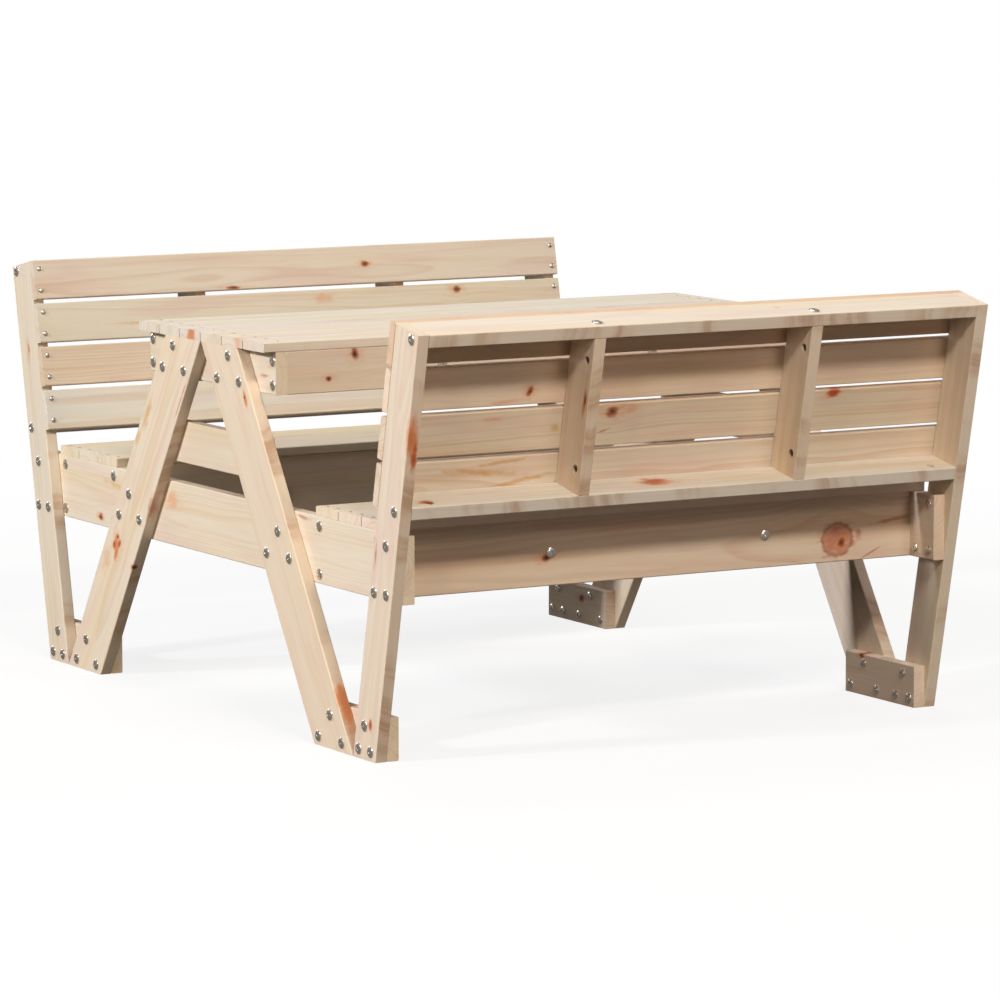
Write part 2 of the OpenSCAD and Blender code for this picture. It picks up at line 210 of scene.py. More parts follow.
def directions(name):
    """The way along the board and the way across its width."""
    side = next((sign for word, sign in SIDES.items() if f"_{word}" in name), 1)
    up_post = Vector((0, side * math.sin(POST_LEAN), math.cos(POST_LEAN)))
    out_of_post = Vector((0, side * math.cos(POST_LEAN), -math.sin(POST_LEAN)))
    up_leg = Vector((0, -side * math.sin(LEG_LEAN), math.cos(LEG_LEAN)))
    out_of_leg = Vector((0, side * math.cos(LEG_LEAN), math.sin(LEG_LEAN)))
    by_start = {
        ("tabletop_slat", "seat_slat"): (X, Y),
        ("back_slat",): (X, up_post),
        ("back_top_board", "back_bottom_board"): (X, out_of_post),
        ("apron", "inner_rail", "outer_rail"): (X, Z),
        ("seat_bearer", "table_bearer", "tie_board", "foot_plate", "seat_supports", "table_supports"): (Y, Z),
        ("table_leg",): (up_leg, out_of_leg),
        ("back_post", "back_strut"): (up_post, out_of_post),
    }
    return next(pair for starts, pair in by_start.items() if name.startswith(starts))


def measure(name):
    """Axes, middle and half sizes of a board, from its CAD node."""
    along, across = directions(name)
    axes = Matrix((along, across, along.cross(across)))
    corners = np.array([axes @ v.co for v in nodes[name].data.vertices])
    low, high = corners.min(0), corners.max(0)
    middle = axes.transposed() @ Vector((low + high) / 2)
    return axes, middle, (high - low) / 2


board_facts = {name: measure(name) for name in BOARDS}
longest = max(BOARDS, key=lambda name: board_facts[name][2][0])
print(len(BOARDS), "wooden nodes; the longest is", longest, round(board_facts[longest][2][0] * 2 * MM_PER_M), "mm")

# %% [markdown]
# ## Where the knots are
#
# A knot is the root of a branch. The ones that show are listed one by one, with half their length and width, and each
# has
# a look: a hard dark heart, a soft red one, a pale orange stain, a long streak, yellow resin, or the wide ring of a
# thick branch. Boards that are seen less get a few from a seeded dice roll, so that every run gives the same table.

# %% The knots of every board
def knot(along, across, long, wide, look="red", tilt=0, through=0, deep=200):
    """A knot by its place and half sizes on a board, in millimetres from the board's middle."""
    return {"place": tuple(v / MM_PER_M for v in (along, across, through)), "look": look, "tilt": math.radians(tilt),
            "size": tuple(v / MM_PER_M for v in (long, wide, deep))}


KNOTS = {
    "back_slat_rear_1": [knot(120, 1, 8, 6), knot(-135, -29, 15, 3.4)],
    "back_slat_rear_2": [knot(35, 19, 15, 9, "pale"), knot(295, 22, 9, 7), knot(-300, -8, 60, 3, "yellow")],
    "back_slat_rear_3": [knot(-166, -22, 12, 6, "pale", 20), knot(-120, 12, 40, 3, "yellow", -8)],
    "back_slat_front_2": [knot(-261, -12, 6, 10, "red", -28), knot(-300, -26, 30, 3, "pale", 4)],
    "back_slat_front_3": [
        knot(-114, 20, 13, 9), knot(-84, 24, 15, 7, "pale"), knot(-126, -9, 12, 1.8, "streak", 16),
        knot(281, 27, 15, 8, "bright", 10), knot(-211, 1, 7, 6, "yellow"), knot(-320, 20, 14, 4, "pale")],
    "back_slat_front_4": [
        knot(-340, 12, 60, 5, "resin", -6), knot(-262, -6, 46, 4, "resin", 9), knot(-300, 24, 40, 3, "resin", 5)],
    "back_top_board_front": [knot(142, -10, 6, 4, "pale")],
    "back_bottom_board_front": [
        knot(-45, -3, 25, 17, "bright"), knot(-446, 13, 13, 9, "bright"), knot(-20, 2, 30, 8, "pale")],
    "back_strut_front_left": [knot(19, 22, 28, 4, "streak"), knot(24, 24, 10, 4)],
    "back_post_front_left": [
        knot(-18, -25, 20, 3.4, "streak"), knot(-270, 9, 9, 6.5, "bright"),
        knot(180, 36, 32, 12, "orange", 0, -3, 12), knot(148, 36, 24, 8, "bright", 0, 4, 6)],
    "back_post_rear_left": [knot(193, 0, 10, 4, "orange"), knot(186, 4, 14, 6, "pale")],
    "table_leg_front_left": [
        knot(230, 34, 13, 6, "orange", 8), knot(233, 33, 3, 2.5), knot(-290, 51, 38, 9, "orange", 0, 2, 13)],
    "table_leg_rear_left": [
        knot(-88, 14, 19, 12, "orange", 30), knot(-93, 20, 9, 6, "bright", 20), knot(-80, 6, 8, 5, "bright"),
        knot(-102, 8, 13, 4, "orange", 8), knot(-74, 16, 4, 4), knot(-128, 30, 20, 12, "pale"),
        knot(162, 36, 26, 9, "resin"), knot(110, 44, 12, 8, "yellow"), knot(255, -46, 48, 1.8, "streak", -1.5),
        knot(43, -51, 26, 9, "streak", 0, 6, 14), knot(-82, -51, 6, 8, "dark", 0, 6, 8)],
    "seat_bearer_left": [
        knot(403, -36, 8, 6), knot(143, 20, 20, 14, "pale"), knot(330, 20, 60, 5, "yellow", 6),
        knot(-300, 44, 24, 3, "streak", 4)],
    "table_bearer_left": [knot(-177, -6, 14, 3, "streak"), knot(-196, 10, 10, 3, "pale")],
    "apron_front": [knot(-344, 24, 7, 11, "dark", 15), knot(-389, -12, 6, 5, "dark")],
    "outer_rail_front": [
        knot(-198, -8, 9, 7, "dark", 10), knot(324, -16, 31, 29, "ring"), knot(332, -21, 8, 8, "red", 40),
        knot(364, -9, 7, 8, "streak"), knot(425, 8, 42, 3.2, "streak", 6), knot(384, -42, 24, 1.8, "streak", 24)],
    "foot_plate_front_right": [knot(51, 31, 8, 6)],
    "tabletop_slat_4": [knot(260, 3, 26, 4, "streak"), knot(-503, -4, 9, 15, "orange", 0, 0, 30)],
    "tabletop_slat_2": [knot(-503, -20, 9, 12, "pale", 0, 0, 30)],
    "tabletop_slat_5": [knot(120, 6, 30, 3, "pale")],
}
CLEAR = ("back_slat_rear_4", "back_slat_front_1", "tabletop_slat", "tie_board_left", "back_strut_front_right",
         "table_leg_front_right", "back_post_front_right")


def knots_of(name, dice):
    """The knots of a board: its own, none on clear boards, or up to two from the dice."""
    if name in KNOTS:
        return KNOTS[name]
    if name.startswith(CLEAR):
        return []
    half = board_facts[name][2] * MM_PER_M
    looks = ["red", "dark", "pale", "streak", "yellow"]
    return [knot(dice.uniform(-0.85, 0.85) * half[0], dice.uniform(-0.8, 0.8) * half[1],
                 dice.uniform(6, 12), dice.uniform(4, 8), dice.choice(looks), dice.uniform(-20, 20))
            for _ in range(dice.choice([0, 1, 1, 2]))]


print(sum(map(len, KNOTS.values())), "knots and stains placed by hand")

# %% [markdown]
# ## What sets one board off from the next
#
# No two boards come from the same tree. Most differences come from the dice, but where the photograph shows a board
# with bolder lines, or one that is redder, yellower or paler than its neighbours, it gets that by name.
# The front bench's top back slat is also darkened by name, and that darkening is painted shade from the top board.

# %% Colours of bare planed softwood
CREAM = srgb(223, 208, 188)
YELLOW_WOOD = srgb(224, 203, 172)
PINK_WOOD = srgb(221, 197, 180)
BROWN_WOOD = srgb(184, 146, 117)
LATE_WOOD = srgb(196, 156, 122)
FIGURE = srgb(208, 172, 141)
# The share of the late wood's brown in its lines, on boards where it isn't left to the dice
BOLD = {"back_slat_front_4": 0.42, "outer_rail_front": 0.34, "back_slat_front_3": 0.34, "back_slat_rear_1": 0.36,
        "back_slat_rear_2": 0.34, "back_slat_rear_3": 0.34}
# Factors for red, green and blue, by how a board's name starts: tints of the wood's own tone, and one darkening that is
# painted shade
TINTS_AND_PAINTED_SHADE = {
    "back_slat_rear_1": (0.9, 0.99, 1.05), "back_slat_rear_2": (0.93, 0.99, 1.07),
    "back_slat_rear_3": (0.9, 0.91, 0.89), "back_slat_rear_4": (0.94, 1.09, 1.24),
    # back_slat_front_1 is darkened as painted shade: it sits in the shade under the top board
    "back_slat_front_1": (0.9, 0.83, 0.76), "back_slat_front_2": (1.07, 1.03, 1.08),
    "back_slat_front_4": (0.94, 1.0, 1.04),
    "back_top_board_front": (0.98, 1.02, 1.08), "back_bottom_board_front": (0.98, 1.11, 1.25),
    "back_post_front_right": (1.0, 1.07, 1.14), "back_post_rear_left": (0.95, 1.02, 1.05),
    "table_leg_front_left": (0.99, 0.96, 0.97), "table_leg_rear_left": (1.01, 1.05, 1.05),
    "seat_bearer_left": (1.0, 1.04, 1.05), "foot_plate_front_right": (1.05, 1.1, 1.16),
    "tabletop_slat": (0.97, 1.06, 1.13), "seat_slat_rear": (1.02, 1.07, 1.08), "seat_slat_front": (1.06, 1.1, 1.14),
    "apron_front": (0.89, 0.89, 0.95),
}


def own_tint_or_painted_shade(name):
    return next((factors for start, factors in TINTS_AND_PAINTED_SHADE.items() if name.startswith(start)), (1, 1, 1))


print(len(BOLD), "boards with bold lines,", sum(own_tint_or_painted_shade(name) != (1, 1, 1) for name in BOARDS), "with a tint")

# %% [markdown]
# ## Growth rings
#
# A board is a slice of a trunk, so the grain is built the same way: rings round a pith line that lies outside the
# board, nearly parallel to it. The board's flat faces then show long lines and arches, and its ends show arcs, all from
# one pattern in space that needs no unwrapping. The rings wander, and they flow round each hard knot.

# %% Rings that bend round the knots
RING_SWAY = 0.026  # how far the rings wander, in metres
FLAT_SAWN = 0.45  # the share of boards with the pith below their middle, so that their faces show arches
NARROWER = 0.35  # a halo stretches this much less across the grain than along it
BENDING_LOOKS = ("dark", "red", "ring", "orange")


def knot_distance(shader, local, mark, stretch=1.0):
    """How far a place is from a knot, counted in its half sizes: 1 on its outline."""
    long, wide, deep = mark["size"]
    size = (long * stretch, wide * (1 + (stretch - 1) * NARROWER), deep)
    turn = (0, 0, mark["tilt"])
    return shader.length(shader.node("ShaderNodeMapping", {"vector_type": "TEXTURE"}, local, mark["place"], turn, size))


def grain(shader, local, knots, half, dice):
    """How late in its year the wood grew at each place, from 0 to 1, and the board's own shift for its patterns."""
    x, y, z = shader.parts(local)
    seed = tuple(dice.uniform(-50, 50) for _ in range(3))
    spot = shader.vector("ADD", shader.vector("MULTIPLY", local, (2.6, 9.0, 9.0)), seed)
    sway = shader.vector("SUBTRACT", shader.noise(spot, 1.5, output="Color"), (0.5, 0.5, 0.5))
    _, sway_y, sway_z = shader.parts(sway)
    for mark in knots:
        if mark["look"] in BENDING_LOOKS:
            long, wide, _ = mark["size"]
            far = knot_distance(shader, local, {**mark, "size": (long * 2.2, wide * 2.4, 0.2)})
            bend = (far * far * -1.0).exp() * 0.8
            y = y - (y - mark["place"][1]) * bend
    if dice.random() < FLAT_SAWN:
        pith_y = dice.uniform(-0.5, 0.5) * half[1]
        pith_z = -dice.uniform(0.02, 0.06)
        slope = dice.uniform(-0.03, 0.03)
    else:
        pith_y = dice.choice([-1, 1]) * dice.uniform(0.05, 0.14)
        pith_z = -dice.uniform(0.02, 0.09)
        slope = dice.uniform(-0.02, 0.02)
    beside = y + sway_y * RING_SWAY - x * dice.uniform(-0.015, 0.015) - pith_y
    above = z + sway_z * RING_SWAY - x * slope - pith_z
    radius = (beside * beside + above * above) ** 0.5
    uneven = shader.noise(shader.combine(radius * 70.0, seed[0], 0.0))
    rings = radius / dice.uniform(0.0042, 0.0068) + uneven * 2.6
    part = rings.fraction()
    strength = shader.noise(shader.combine(rings.whole() * 7.31, 0.0, seed[1]), 0.0)
    late = part.step(0.12, 0.88) * (1.0 - part.step(0.88, 1.0)) * strength.step(0.35, 0.7)
    return late, seed


print("the rings bend round these knots:", ", ".join(BENDING_LOOKS))

# %% [markdown]
# ## Painting the knots
#
# The heart of a knot is a deep red-brown, its body is red or orange, and a stain flows from it along the grain. All
# three are painted by how far a place is from the knot's middle. Noise roughens that distance, or a knot would look
# like a sticker. Stains without a heart get softer edges still.

# %% The looks of knots
HEART = srgb(66, 28, 17)
RED = srgb(156, 82, 50)
ORANGE = srgb(212, 130, 78)
STAIN = srgb(217, 148, 98)
YELLOW_STAIN = srgb(206, 166, 100)
RIM = srgb(142, 70, 46)
# For each look: the halo's tone, strength and stretch, the body's tone and strength, and the heart's strength
LOOKS = {
    "dark": (STAIN, 0.6, 3.4, RED, 0.85, 0.95),
    "red": (STAIN, 0.9, 2.7, RED, 0.85, 0.75),
    "orange": (STAIN, 0.7, 1.8, ORANGE, 0.85, 0.15),
    "bright": (STAIN, 0.7, 1.9, srgb(190, 88, 48), 0.9, 0.35),
    "pale": (STAIN, 0.4, 2.0, ORANGE, 0.25, 0.0),
    "streak": (STAIN, 0.4, 1.6, srgb(168, 96, 66), 0.6, 0.0),
    "yellow": (YELLOW_STAIN, 0.45, 1.8, YELLOW_STAIN, 0.5, 0.0),
    "resin": (YELLOW_STAIN, 0.6, 1.8, srgb(198, 148, 90), 0.5, 0.0),
    "ring": (STAIN, 0.5, 1.3, srgb(184, 116, 88), 0.75, 0.0),
}
SOFTER = 0.35


def paint_knots(shader, local, colour, knots):
    """Paints the knots on a colour, and says where their hard parts are."""
    def ragged(stretch, detail):
        return shader.noise(shader.vector("MULTIPLY", local, stretch), detail) - 0.5

    warp = ragged((60.0, 130.0, 130.0), 3.0)
    crumbs = ragged((420.0, 700.0, 700.0), 2.0)
    lines = ragged((9.0, 330.0, 330.0), 2.0).step(-0.2, 0.2, 0.5, 1.0)
    hard = None
    for mark in knots:
        halo_tone, halo, stretch, body_tone, body, heart = LOOKS[mark["look"]]
        soft = 0.0 if heart else SOFTER
        around = knot_distance(shader, local, mark, stretch) + warp * (1.5 + soft * 2.0)
        inside = knot_distance(shader, local, mark) + warp * (0.9 + soft * 2.0) + crumbs * 0.3
        colour = shader.mix(around.step(0.0, 1.1, halo, 0.0) * lines, colour, halo_tone)
        colour = shader.mix(inside.step(0.5 - soft, 1.15 + soft * 0.5, body, 0.0), colour, body_tone)
        if mark["look"] == "ring":
            circle = knot_distance(shader, local, mark) + warp * 0.35
            rim = circle.step(0.72, 0.88) * circle.step(0.92, 1.05, 1.0, 0.0)
            colour = shader.mix(circle.step(0.82, 1.0, 0.5, 0.0), colour, body_tone)
            colour = shader.mix(rim * lines * 0.65, colour, RIM)
        if heart:
            colour = shader.mix(inside.step(0.1, 0.72, heart, 0.0), colour, HEART)
            solid = inside.step(0.5, 1.0, 1.0, 0.0)
            hard = hard.larger(solid) if hard else solid
    return colour, hard


print("looks of knots:", ", ".join(LOOKS))

# %% [markdown]
# ## The wood of one board
#
# On the flat faces, cream wood has yellower and pinker patches, brownish figure and the lines of the late wood. The
# narrow edges cut the rings at a slant, which shows as brown bands across them, and the ends show the rings. The planed
# surface has fine fibres, so a Bump node and the roughness follow the same noise as the colour.

# %% From rings and knots to a material
# How many waves a metre each pattern has, along, across and through the board
BROAD, PATCHES, FIGURED = (2.0, 22.0, 22.0), (5.0, 34.0, 34.0), (1.7, 48.0, 48.0)
FIBRES, FINE_FIBRES = (7.0, 240.0, 240.0), (40.0, 1500.0, 1500.0)
LIVELY = ("back_slat", "outer_rail", "back_strut", "foot_plate")
END_SHARE = 0.2
FACING = (0.6, 0.95)  # from where to where a face counts as an edge or an end, by how square it is to that way


def edge_bands(shader, local, patch, seed, lean):
    """Where the brown bands cross the narrow edges of a board, from 0 to 1."""
    x, _, z = shader.parts(local)
    slanted = x + z * lean + (patch - 0.5) * 0.02
    wide = shader.noise(shader.combine(slanted * 11.0 + seed[0], z * 4.0, seed[2]))
    fine = shader.noise(shader.combine(slanted * 70.0, z * 9.0, seed[0]), 3.0)
    return wide.step(0.47, 0.62) * (fine.step(0.38, 0.62) * 0.65 + 0.35)


def wood(name):
    """The material of one board, with its own rings, knots and tint."""
    dice = random.Random(name)
    axes, middle, half = board_facts[name]
    knots = knots_of(name, dice)
    shader = Shader(f"wood_{name}")
    turn = axes.transposed().to_euler()
    local = shader.node("ShaderNodeMapping", {"vector_type": "TEXTURE"}, shader.coordinates(), middle, turn)
    late, seed = grain(shader, local, knots, half, dice)

    def streaks(stretch, detail=2.0):
        return shader.noise(shader.vector("ADD", shader.vector("MULTIPLY", local, stretch), seed), detail)

    def facing(way):
        """How squarely the surface faces a way, from 0 to 1."""
        turned = abs(shader.vector("DOT_PRODUCT", shader.coordinates("Normal"), way, output="Value"))
        return turned.step(*FACING)

    patch = streaks(PATCHES)
    fibre = streaks(FIBRES, 3.0)
    fine = streaks(FINE_FIBRES, 3.0)
    tint = [dice.uniform(0.97, 1.02) * v for v in (1.0, dice.uniform(0.985, 1.0), dice.uniform(0.98, 1.01))]
    late_share = BOLD.get(name, dice.uniform(0.12, 0.25))
    figure_share = 0.45 if name.startswith(LIVELY) else 0.16
    colour = shader.mix(streaks(BROAD).step(0.47, 0.66, 0.0, 0.6), CREAM, YELLOW_WOOD)
    colour = shader.mix(patch.step(0.32, 0.5, 0.8, 0.0), colour, PINK_WOOD)
    colour = shader.mix(streaks(FIGURED, 3.0).step(0.48, 0.7) * figure_share, colour, FIGURE)
    colour = shader.mix(late * late_share, colour, LATE_WOOD)

    bands = edge_bands(shader, local, patch, seed, dice.uniform(-0.4, 0.4))
    band_share = 0.15 if "slat" in name else dice.uniform(0.65, 0.85)
    banded = shader.mix(bands, shader.mix(0.35, CREAM, PINK_WOOD), BROWN_WOOD)
    colour = shader.mix(facing(axes[1]) * band_share, colour, banded)
    colour = shader.mix(facing(axes[0]) * END_SHARE, colour, shader.mix(late, YELLOW_WOOD, BROWN_WOOD))
    colour, hard = paint_knots(shader, local, colour, knots)

    colour = shader.vector("MULTIPLY", colour, [t * p for t, p in zip(tint, own_tint_or_painted_shade(name))])
    colour = shader.vector("SCALE", colour, Scale=1.0 + (fibre - 0.5) * 0.12 + (fine - 0.5) * 0.08)
    relief = late * 0.5 + fibre * 0.35 + fine * 0.3
    rough = 0.62 + (fibre - 0.5) * 0.2 - late * 0.08
    if hard:
        relief = relief + hard * 0.6
        rough = rough - hard * 0.15
    bump = shader.node("ShaderNodeBump", None, Strength=0.3, Distance=0.0004, Height=relief)
    shader.set(Base_Color=colour, Roughness=rough, Normal=bump, Metallic=0.0, IOR=1.45)
    return shader.material


print("boards with strong figure:", sum(name.startswith(LIVELY) for name in BOARDS))

# %% [markdown]
# ## Finishing the boards
#
# The CAD boards have rounded long edges and true holes, but their cut ends are razor sharp, which no sanded board is.
# A bevel of well under a millimetre takes the sharpness off the ends and the rims of the holes, and catches the light.
# Each board is a merged copy of its CAD node, so its size, its holes and its cuts stay as they are.

# %% A board with eased ends
EASE = 0.7  # the width of the bevel, in millimetres


def only(*objects):
    """Selects just these objects, the first of them active."""
    bpy.ops.object.select_all(action="DESELECT")
    for o in objects:
        o.select_set(True)
    bpy.context.view_layer.objects.active = objects[0]


def merged_copy(name, new_name):
    """A copy of a CAD node whose loose triangles are joined into clean faces."""
    piece = bpy.data.objects.new(new_name, nodes[name].data.copy())
    bpy.context.scene.collection.objects.link(piece)
    piece.data.materials.clear()
    only(piece)
    bpy.ops.object.mode_set(mode="EDIT")
    bpy.ops.mesh.select_all(action="SELECT")
    bpy.ops.mesh.remove_doubles(threshold=1e-6)
    bpy.ops.mesh.dissolve_limited(angle_limit=math.radians(0.5))
    bpy.ops.object.mode_set(mode="OBJECT")
    return piece


def bevel_edges(piece, width, segments, sharper_than):
    """Bevels the active piece by a width in millimetres, along edges that are sharper than an angle in degrees."""
    bevel = piece.modifiers.new("broken edges", "BEVEL")
    bevel.width, bevel.segments = width / MM_PER_M, segments
    bevel.limit_method, bevel.angle_limit = "ANGLE", math.radians(sharper_than)
    bpy.ops.object.modifier_apply(modifier=bevel.name)


def eased_board(name):
    """One finished board, in place of its CAD node."""
    piece = merged_copy(name, f"{name}_finished")
    if piece.data.has_custom_normals:
        bpy.ops.mesh.customdata_custom_splitnormals_clear()
    bevel_edges(piece, EASE, segments=2, sharper_than=50)
    bpy.ops.object.shade_smooth_by_angle(angle=math.radians(35))
    weigh = piece.modifiers.new("flat faces stay flat", "WEIGHTED_NORMAL")
    weigh.keep_sharp = True
    bpy.ops.object.modifier_apply(modifier=weigh.name)
    piece.data.materials.append(wood(name))
    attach(piece, "root")
    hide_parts(name)
    return piece


boards = [eased_board(name) for name in BOARDS]
print(len(boards), "boards finished, faces:", sum(len(b.data.polygons) for b in boards))

# %% [markdown]
# ## Zinc-plated steel
#
# The fasteners are plated with zinc: a metal with a fine mottled grain and a faint smear in its gloss. The bolts are
# bright, the screws are a little worn by the driver, and the barrel nuts are nearly black, as painted shade for their
# holes.

# %% Steel finishes
def zinc(name, tone, roughness):
    """A plated metal of a tone, with its grain in Object coordinates."""
    shader = Shader(name)
    place = shader.coordinates()
    mottle = shader.noise(place, 3.0, scale=900.0)
    smear = shader.noise(shader.vector("MULTIPLY", place, (300.0, 300.0, 2400.0)))
    colour = shader.mix(mottle.step(0.3, 0.75), [v * 0.86 for v in tone], tone)
    bump = shader.node("ShaderNodeBump", None, Strength=0.12, Distance=0.0001, Height=smear)
    shader.set(Base_Color=colour, Metallic=1.0, Roughness=roughness + (mottle - 0.5) * 0.16, Normal=bump)
    return shader.material


bright_zinc = zinc("bright_zinc", (0.78, 0.73, 0.66), 0.25)
worn_zinc = zinc("worn_zinc", (0.50, 0.47, 0.43), 0.36)
# The barrel nuts' zinc is nearly black: its darkness is painted shade for the holes they sit in
zinc_with_painted_shade = zinc("zinc_with_painted_shade", (0.16, 0.15, 0.14), 0.42)
nodes["barrel_nuts"].data.materials.clear()
nodes["barrel_nuts"].data.materials.append(zinc_with_painted_shade)
print("steel finishes:", bright_zinc.name, worn_zinc.name, zinc_with_painted_shade.name)

# %% [markdown]
# ## Turning a bolt
#
# A turned part is drawn ring by ring from its tip to its head, and its driver socket is cut with a boolean.
# A small bevel then breaks the rims, because that is where a bright head catches the light.

# %% Tools for turned parts
def turned_part(name, profile, turns):
    """Builds a closed part from rings: each step of the profile is a radius and a height, in millimetres."""
    rings = [(r / MM_PER_M, h / MM_PER_M) for r, h in profile]
    bpy.ops.mesh.primitive_circle_add(vertices=turns, radius=rings[0][0], fill_type="NGON")
    made = bpy.context.object
    made.name = name
    bpy.ops.object.mode_set(mode="EDIT")
    bpy.ops.mesh.select_all(action="SELECT")
    for (radius, height), (new_radius, new_height) in zip(rings, rings[1:]):
        bpy.ops.mesh.extrude_region_move(TRANSFORM_OT_translate={"value": (0, 0, new_height - height)})
        bpy.ops.transform.resize(value=(new_radius / radius, new_radius / radius, 1))
    bpy.ops.mesh.select_all(action="SELECT")
    bpy.ops.mesh.normals_make_consistent(inside=False)
    bpy.ops.object.mode_set(mode="OBJECT")
    return made


def cut(piece, cutter):
    """Takes the cutter's shape out of the piece, and throws the cutter away."""
    knife = piece.modifiers.new("cut", "BOOLEAN")
    knife.object, knife.operation, knife.solver = cutter, "DIFFERENCE", "EXACT"
    only(piece)
    bpy.ops.object.modifier_apply(modifier=knife.name)
    bpy.data.objects.remove(cutter)


def cut_prism(piece, corners, radius, depth, height=0.0):
    """Cuts a prism of a radius out of a piece, as deep as said below and above a height, in millimetres."""
    bpy.ops.mesh.primitive_cylinder_add(vertices=corners, radius=radius / MM_PER_M, depth=2 * depth / MM_PER_M,
                                        location=(0, 0, height / MM_PER_M))
    cut(piece, bpy.context.object)


def break_rims(piece, width):
    """Takes the sharpness off a turned part's rims, by a width in millimetres."""
    only(piece)
    bevel_edges(piece, width, segments=1, sharper_than=38)
    bpy.ops.object.shade_smooth_by_angle(angle=math.radians(32))
    return piece


print("tools for turned parts ready")

# %% [markdown]
# ## Bolts and screws
#
# A bolt or cap nut has a low dome with a straight rim and a hexagon socket. A wood screw has a cone that sinks into
# its board, a slightly raised top and a cross recess. The thread is out of sight in the wood, so it is a plain shank.

# %% Shapes of the fasteners
HEAD_HEIGHT = 2.9
SOCKET_RADIUS, SOCKET_DEPTH = 2.31, 2.0
# A dome's outline from its underside up to the flat round its middle, as shares of its radius and its height
DOME = [(1.0, 0.0), (1.0, 0.42), (0.985, 0.52), (0.9, 0.68), (0.75, 0.84), (0.55, 0.95), (0.34, 1.0)]
SCREW_SHANK, SCREW_CONE = 1.75, 3.5
SLAT_SCREW, TIE_SCREW = 24.0, 29.0
BLADE = (4.2, 0.9, 2.6)  # the length, thickness and height of each of the two bars that cut the cross


def socket_bolt(name, length, shank, head, bore=None):
    """A bolt with a dome head of a radius; bore gives the radius of the hole in a cap nut's sleeve."""
    tip = [(shank, 0)] if bore else [(shank * 0.84, 0), (shank, 0.6)]
    dome = [(head * r, length + HEAD_HEIGHT * h) for r, h in DOME]
    piece = turned_part(name, [*tip, (shank, length), *dome, (0.4, length + HEAD_HEIGHT)], 28)
    if bore:
        cut_prism(piece, 16, bore, length - 0.4)
    cut_prism(piece, 6, SOCKET_RADIUS, SOCKET_DEPTH, length + HEAD_HEIGHT)
    return break_rims(piece, 0.22)


def cross_screw(name, length, raised=1.0, wide=3.5):
    """A wood screw whose head is raised over its cone, with a cross recess."""
    rings = [(0.25, 0), (SCREW_SHANK, 3.5), (SCREW_SHANK, length - 1.75),
             (SCREW_CONE, length - 0.05), (SCREW_CONE, length), (wide, length + 0.04),
             (wide * 0.97, length + raised * 0.4), (wide * 0.74, length + raised * 0.74),
             (wide * 0.42, length + raised * 0.94), (0.3, length + raised)]
    piece = turned_part(name, rings, 20)
    for turn in (0, 90):
        bpy.ops.mesh.primitive_cube_add(size=1, location=(0, 0, length / MM_PER_M))
        blade = bpy.context.object
        blade.scale = [v / MM_PER_M for v in BLADE]
        blade.rotation_euler = (0, 0, math.radians(turn))
        bpy.ops.object.transform_apply(location=True, rotation=True, scale=True)
        cut(piece, blade)
    return break_rims(piece, 0.08)


print("bolt heads are", HEAD_HEIGHT, "mm high, their sockets", SOCKET_DEPTH, "mm deep")

# %% [markdown]
# ## Where the steel goes
#
# Each CAD fastener is a loose part of its node, and lies along one of the table's own directions. In the right one
# its cross section is smallest, and its middle and its ends can be read off. Its head is its heavier end.

# %% Find where each fastener sits
WAYS = [X, Y, Z, *(way for side in SIDES for way in directions(f"back_post_{side}"))]


def steel_places(name):
    """The tip, the way to the head, and the length up to the top of the head, for each loose part of a CAD node."""
    merged_copy(name, "loose")
    bpy.ops.object.mode_set(mode="EDIT")
    bpy.ops.mesh.separate(type="LOOSE")
    bpy.ops.object.mode_set(mode="OBJECT")
    found = []
    for part in list(bpy.context.selected_objects):
        points = np.array([v.co for v in part.data.vertices])
        fits = []
        for way in WAYS:
            axes = way.to_track_quat("Z", "Y").to_matrix()
            inside = points @ np.array(axes)
            low, high = inside.min(0), inside.max(0)
            fits.append((sum((high - low)[:2]), axes, (low + high) / 2, high[2] - low[2], inside[:, 2].mean()))
        _, axes, middle, length, heavy = min(fits, key=lambda fit: fit[0])
        sense = 1 if heavy > middle[2] else -1
        tip = axes @ Vector((middle[0], middle[1], middle[2] - sense * length / 2))
        found.append((tip, axes @ Vector((0, 0, sense)), float(length)))
        bpy.data.objects.remove(part)
    return found


places = {name: steel_places(name) for name in STEEL_NODES if name != "barrel_nuts"}
for name, found in places.items():
    lengths = sorted({round(length * MM_PER_M, 1) for _, _, length in found})
    print(name, len(found), "parts, lengths in mm:", lengths)

# %% [markdown]
# ## Setting the steel in place
#
# One of each fastener is modelled, and a copy of it is put on every place, turned by a dice roll as a screwdriver
# leaves it. The copies of one kind are joined into a single piece, as they are in the CAD frame.

# %% Model one of each and set the copies
def screw_for(way, length):
    """Which screw a place takes: behind a tie board, level through a back slat, or down through a slat."""
    if length * MM_PER_M > (SLAT_SCREW + TIE_SCREW) / 2:
        return "tie_screw"
    return "back_screw" if abs(way.z) < 0.5 else "slat_screw"


def set_in_place(name, finish, models, choose=None):
    """Puts a copy of the right model on every place of a node, and joins them into one piece."""
    dice = random.Random(name)
    by_name = {model.name: model for model in models}
    copies = []
    for tip, way, length in places[name]:
        model = by_name[choose(way, length)] if choose else models[0]
        copy = bpy.data.objects.new(f"{name}_copy", model.data.copy())
        bpy.context.scene.collection.objects.link(copy)
        turn = way.to_track_quat("Z", "Y").to_matrix().to_4x4() @ Matrix.Rotation(dice.uniform(0, math.tau), 4, "Z")
        copy.matrix_world = Matrix.Translation(tip) @ turn
        copies.append(copy)
    only(*copies)
    bpy.ops.object.transform_apply(location=True, rotation=True, scale=True)
    bpy.ops.object.join()
    piece = bpy.context.object
    piece.name = f"{name}_modelled"
    piece.data.materials.append(finish)
    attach(piece, "root")
    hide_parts(name)
    for model in models:
        bpy.data.objects.remove(model)
    print(piece.name, len(copies), "copies,", len(piece.data.polygons), "faces")


